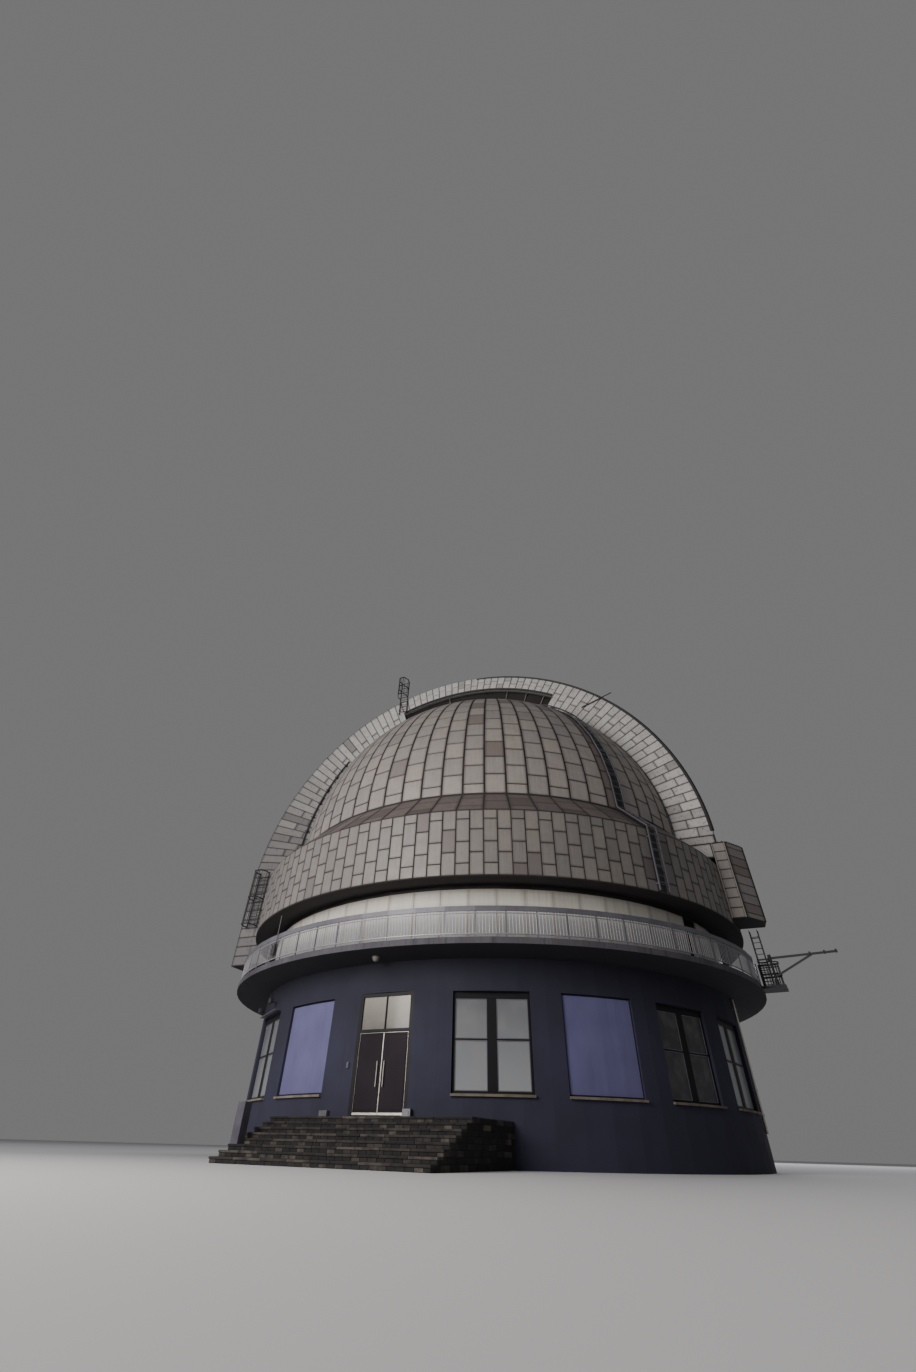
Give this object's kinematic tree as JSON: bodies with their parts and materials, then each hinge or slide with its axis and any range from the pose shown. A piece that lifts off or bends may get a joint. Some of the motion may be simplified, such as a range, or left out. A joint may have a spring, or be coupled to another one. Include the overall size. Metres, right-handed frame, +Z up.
{
  "type": "observatory dome building",
  "caption": "Round observatory building with a raised entrance, a balcony, and a turning panelled dome with an arched shutter over its slit.",
  "frame": {"origin": "on the axis of the round building, at ground level, in the plinth's underside", "axes": "+Z up; -Y towards the viewer of the picture, with the door to the left of it; +X to the right"},
  "size_m": [27.0156, 26.4143, 24.97],
  "materials": {
    "wall_render": "matte",
    "concrete": "matte",
    "stone": "matte",
    "window_glass": "glossy",
    "door_frame_metal": "satin",
    "door_metal": "satin",
    "cream_panel": "satin",
    "railing_metal": "satin",
    "dark_steel": "matte",
    "dome_panel": "weathered",
    "arch_panel": "weathered"
  },
  "bodies": {
    "building": {"wall_1": "wall_render", "wall_2": "wall_render", "wall_3": "wall_render", "wall_4": "wall_render", "wall_5": "wall_render", "wall_6": "wall_render", "lintel": "wall_render", "side_pillar": "wall_render", "plinth": "wall_render", "balcony_slab": "concrete", "landing": "stone", "step_1": "stone", "step_2": "stone", "step_3": "stone", "step_4": "stone", "step_5": "stone", "step_6": "stone", "step_7": "stone", "glazing": "window_glass", "transom_glass": "window_glass", "door_frame": "door_frame_metal", "balcony_door": "door_metal", "upper_wall_1": "cream_panel", "upper_wall_2": "cream_panel", "upper_wall_3": "cream_panel", "railing_1": "railing_metal", "railing_2": "railing_metal", "railing_3": "railing_metal", "railing_4": "railing_metal", "railing_5": "railing_metal", "track_ring": "dark_steel", "platform": "dark_steel", "platform_railing": "dark_steel", "access_ladder": "dark_steel", "jib_base": "dark_steel"},
    "door_leaf_left": {"leaf_left": "door_metal"},
    "door_leaf_right": {"leaf_right": "door_metal"},
    "jib": {"jib_boom": "dark_steel"},
    "dome": {"ring_beam": "dark_steel", "skirt_1": "dome_panel", "skirt_2": "dome_panel", "skirt_3": "dome_panel", "dome_shell_1": "dome_panel", "dome_shell_2": "dome_panel", "dome_shell_3": "dome_panel", "dome_shell_4": "dome_panel", "arch_wall_near": "arch_panel", "arch_wall_far": "arch_panel", "front_hood": "arch_panel", "rear_roof": "arch_panel", "rear_hood": "arch_panel", "foot_ladder": "dark_steel", "top_ladder": "dark_steel", "dome_ladder": "dark_steel"},
    "shutter": {"shutter": "arch_panel"}
  },
  "joints": [
    {"name": "left_leaf_hinge", "type": "hinge", "parent": "building", "child": "door_leaf_left", "pos_m": [-4.36236, -9.52463, 1.125], "axis": [0, 0, -1], "range_deg": [0, 90]},
    {"name": "right_leaf_hinge", "type": "hinge", "parent": "building", "child": "door_leaf_right", "pos_m": [-2.72763, -10.11478, 1.125], "axis": [0, 0, 1], "range_deg": [0, 90]},
    {"name": "jib_swing", "type": "hinge", "parent": "building", "child": "jib", "pos_m": [10.90455, -5.94535, 5.61], "axis": [0, 0, 1], "range_deg": [-40, 20]},
    {"name": "dome_turn", "type": "hinge", "parent": "building", "child": "dome", "pos_m": [0, 0, 7.69], "axis": [0, 0, 1], "continuous": true},
    {"name": "shutter_lift", "type": "hinge", "parent": "dome", "child": "shutter", "pos_m": [-1.07711, 0.34168, 11.45], "axis": [0.3024, 0.9532, 0], "range_deg": [0, 70]}
  ]
}
